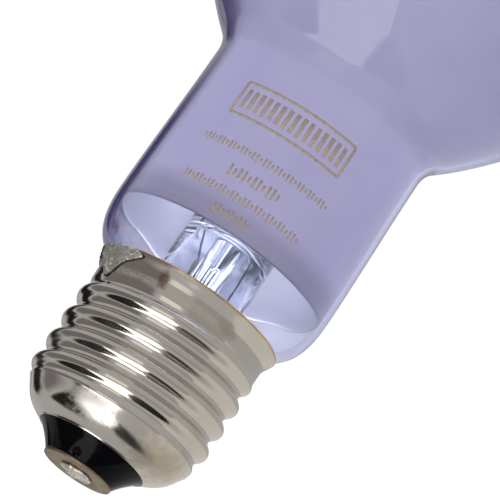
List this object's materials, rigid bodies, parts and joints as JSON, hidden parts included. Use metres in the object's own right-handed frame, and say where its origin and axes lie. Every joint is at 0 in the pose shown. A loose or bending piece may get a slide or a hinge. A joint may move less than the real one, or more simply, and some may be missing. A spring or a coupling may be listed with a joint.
{
  "type": "reflector basking bulb",
  "caption": "Reflector spot bulb with a violet glass envelope, mirrored inside, standing on the flat middle of its face with its screw cap up.",
  "frame": {"origin": "middle of the face, on the bulb's axis", "axes": "+Z along the bulb's axis from the face to the screw cap, +X towards a crest of the thread at 9.35 mm from the contact"},
  "size_m": [0.08, 0.08, 0.1156],
  "materials": {
    "violet_glass": "clear, gloss",
    "mirror_film": "evaporated metal film",
    "stem_glass": "clear, fire polished",
    "tungsten": "drawn, dark grey",
    "lead_wire": "drawn nickel",
    "support_wire": "drawn molybdenum",
    "outer_wire": "dark, oxidised",
    "cement": "matt",
    "nickel_plate": "bright nickel plate on rolled brass",
    "black_glass": "opaque black, gloss",
    "contact_brass": "fine brushed, dulled",
    "solder": "cast tin, satin and uneven"
  },
  "bodies": {
    "root": {"envelope": "violet_glass", "mirror_coating": "mirror_film", "glass_stem": "stem_glass", "filament": "tungsten", "inner_lead_1": "lead_wire", "inner_lead_2": "lead_wire", "support_wire_1": "support_wire", "support_wire_2": "support_wire", "support_wire_3": "support_wire", "shell_lead": "outer_wire", "contact_lead": "outer_wire", "basing_cement": "cement", "screw_shell": "nickel_plate", "insulator": "black_glass", "centre_contact": "contact_brass", "centre_solder": "solder", "side_solder": "solder"}
  },
  "joints": []
}
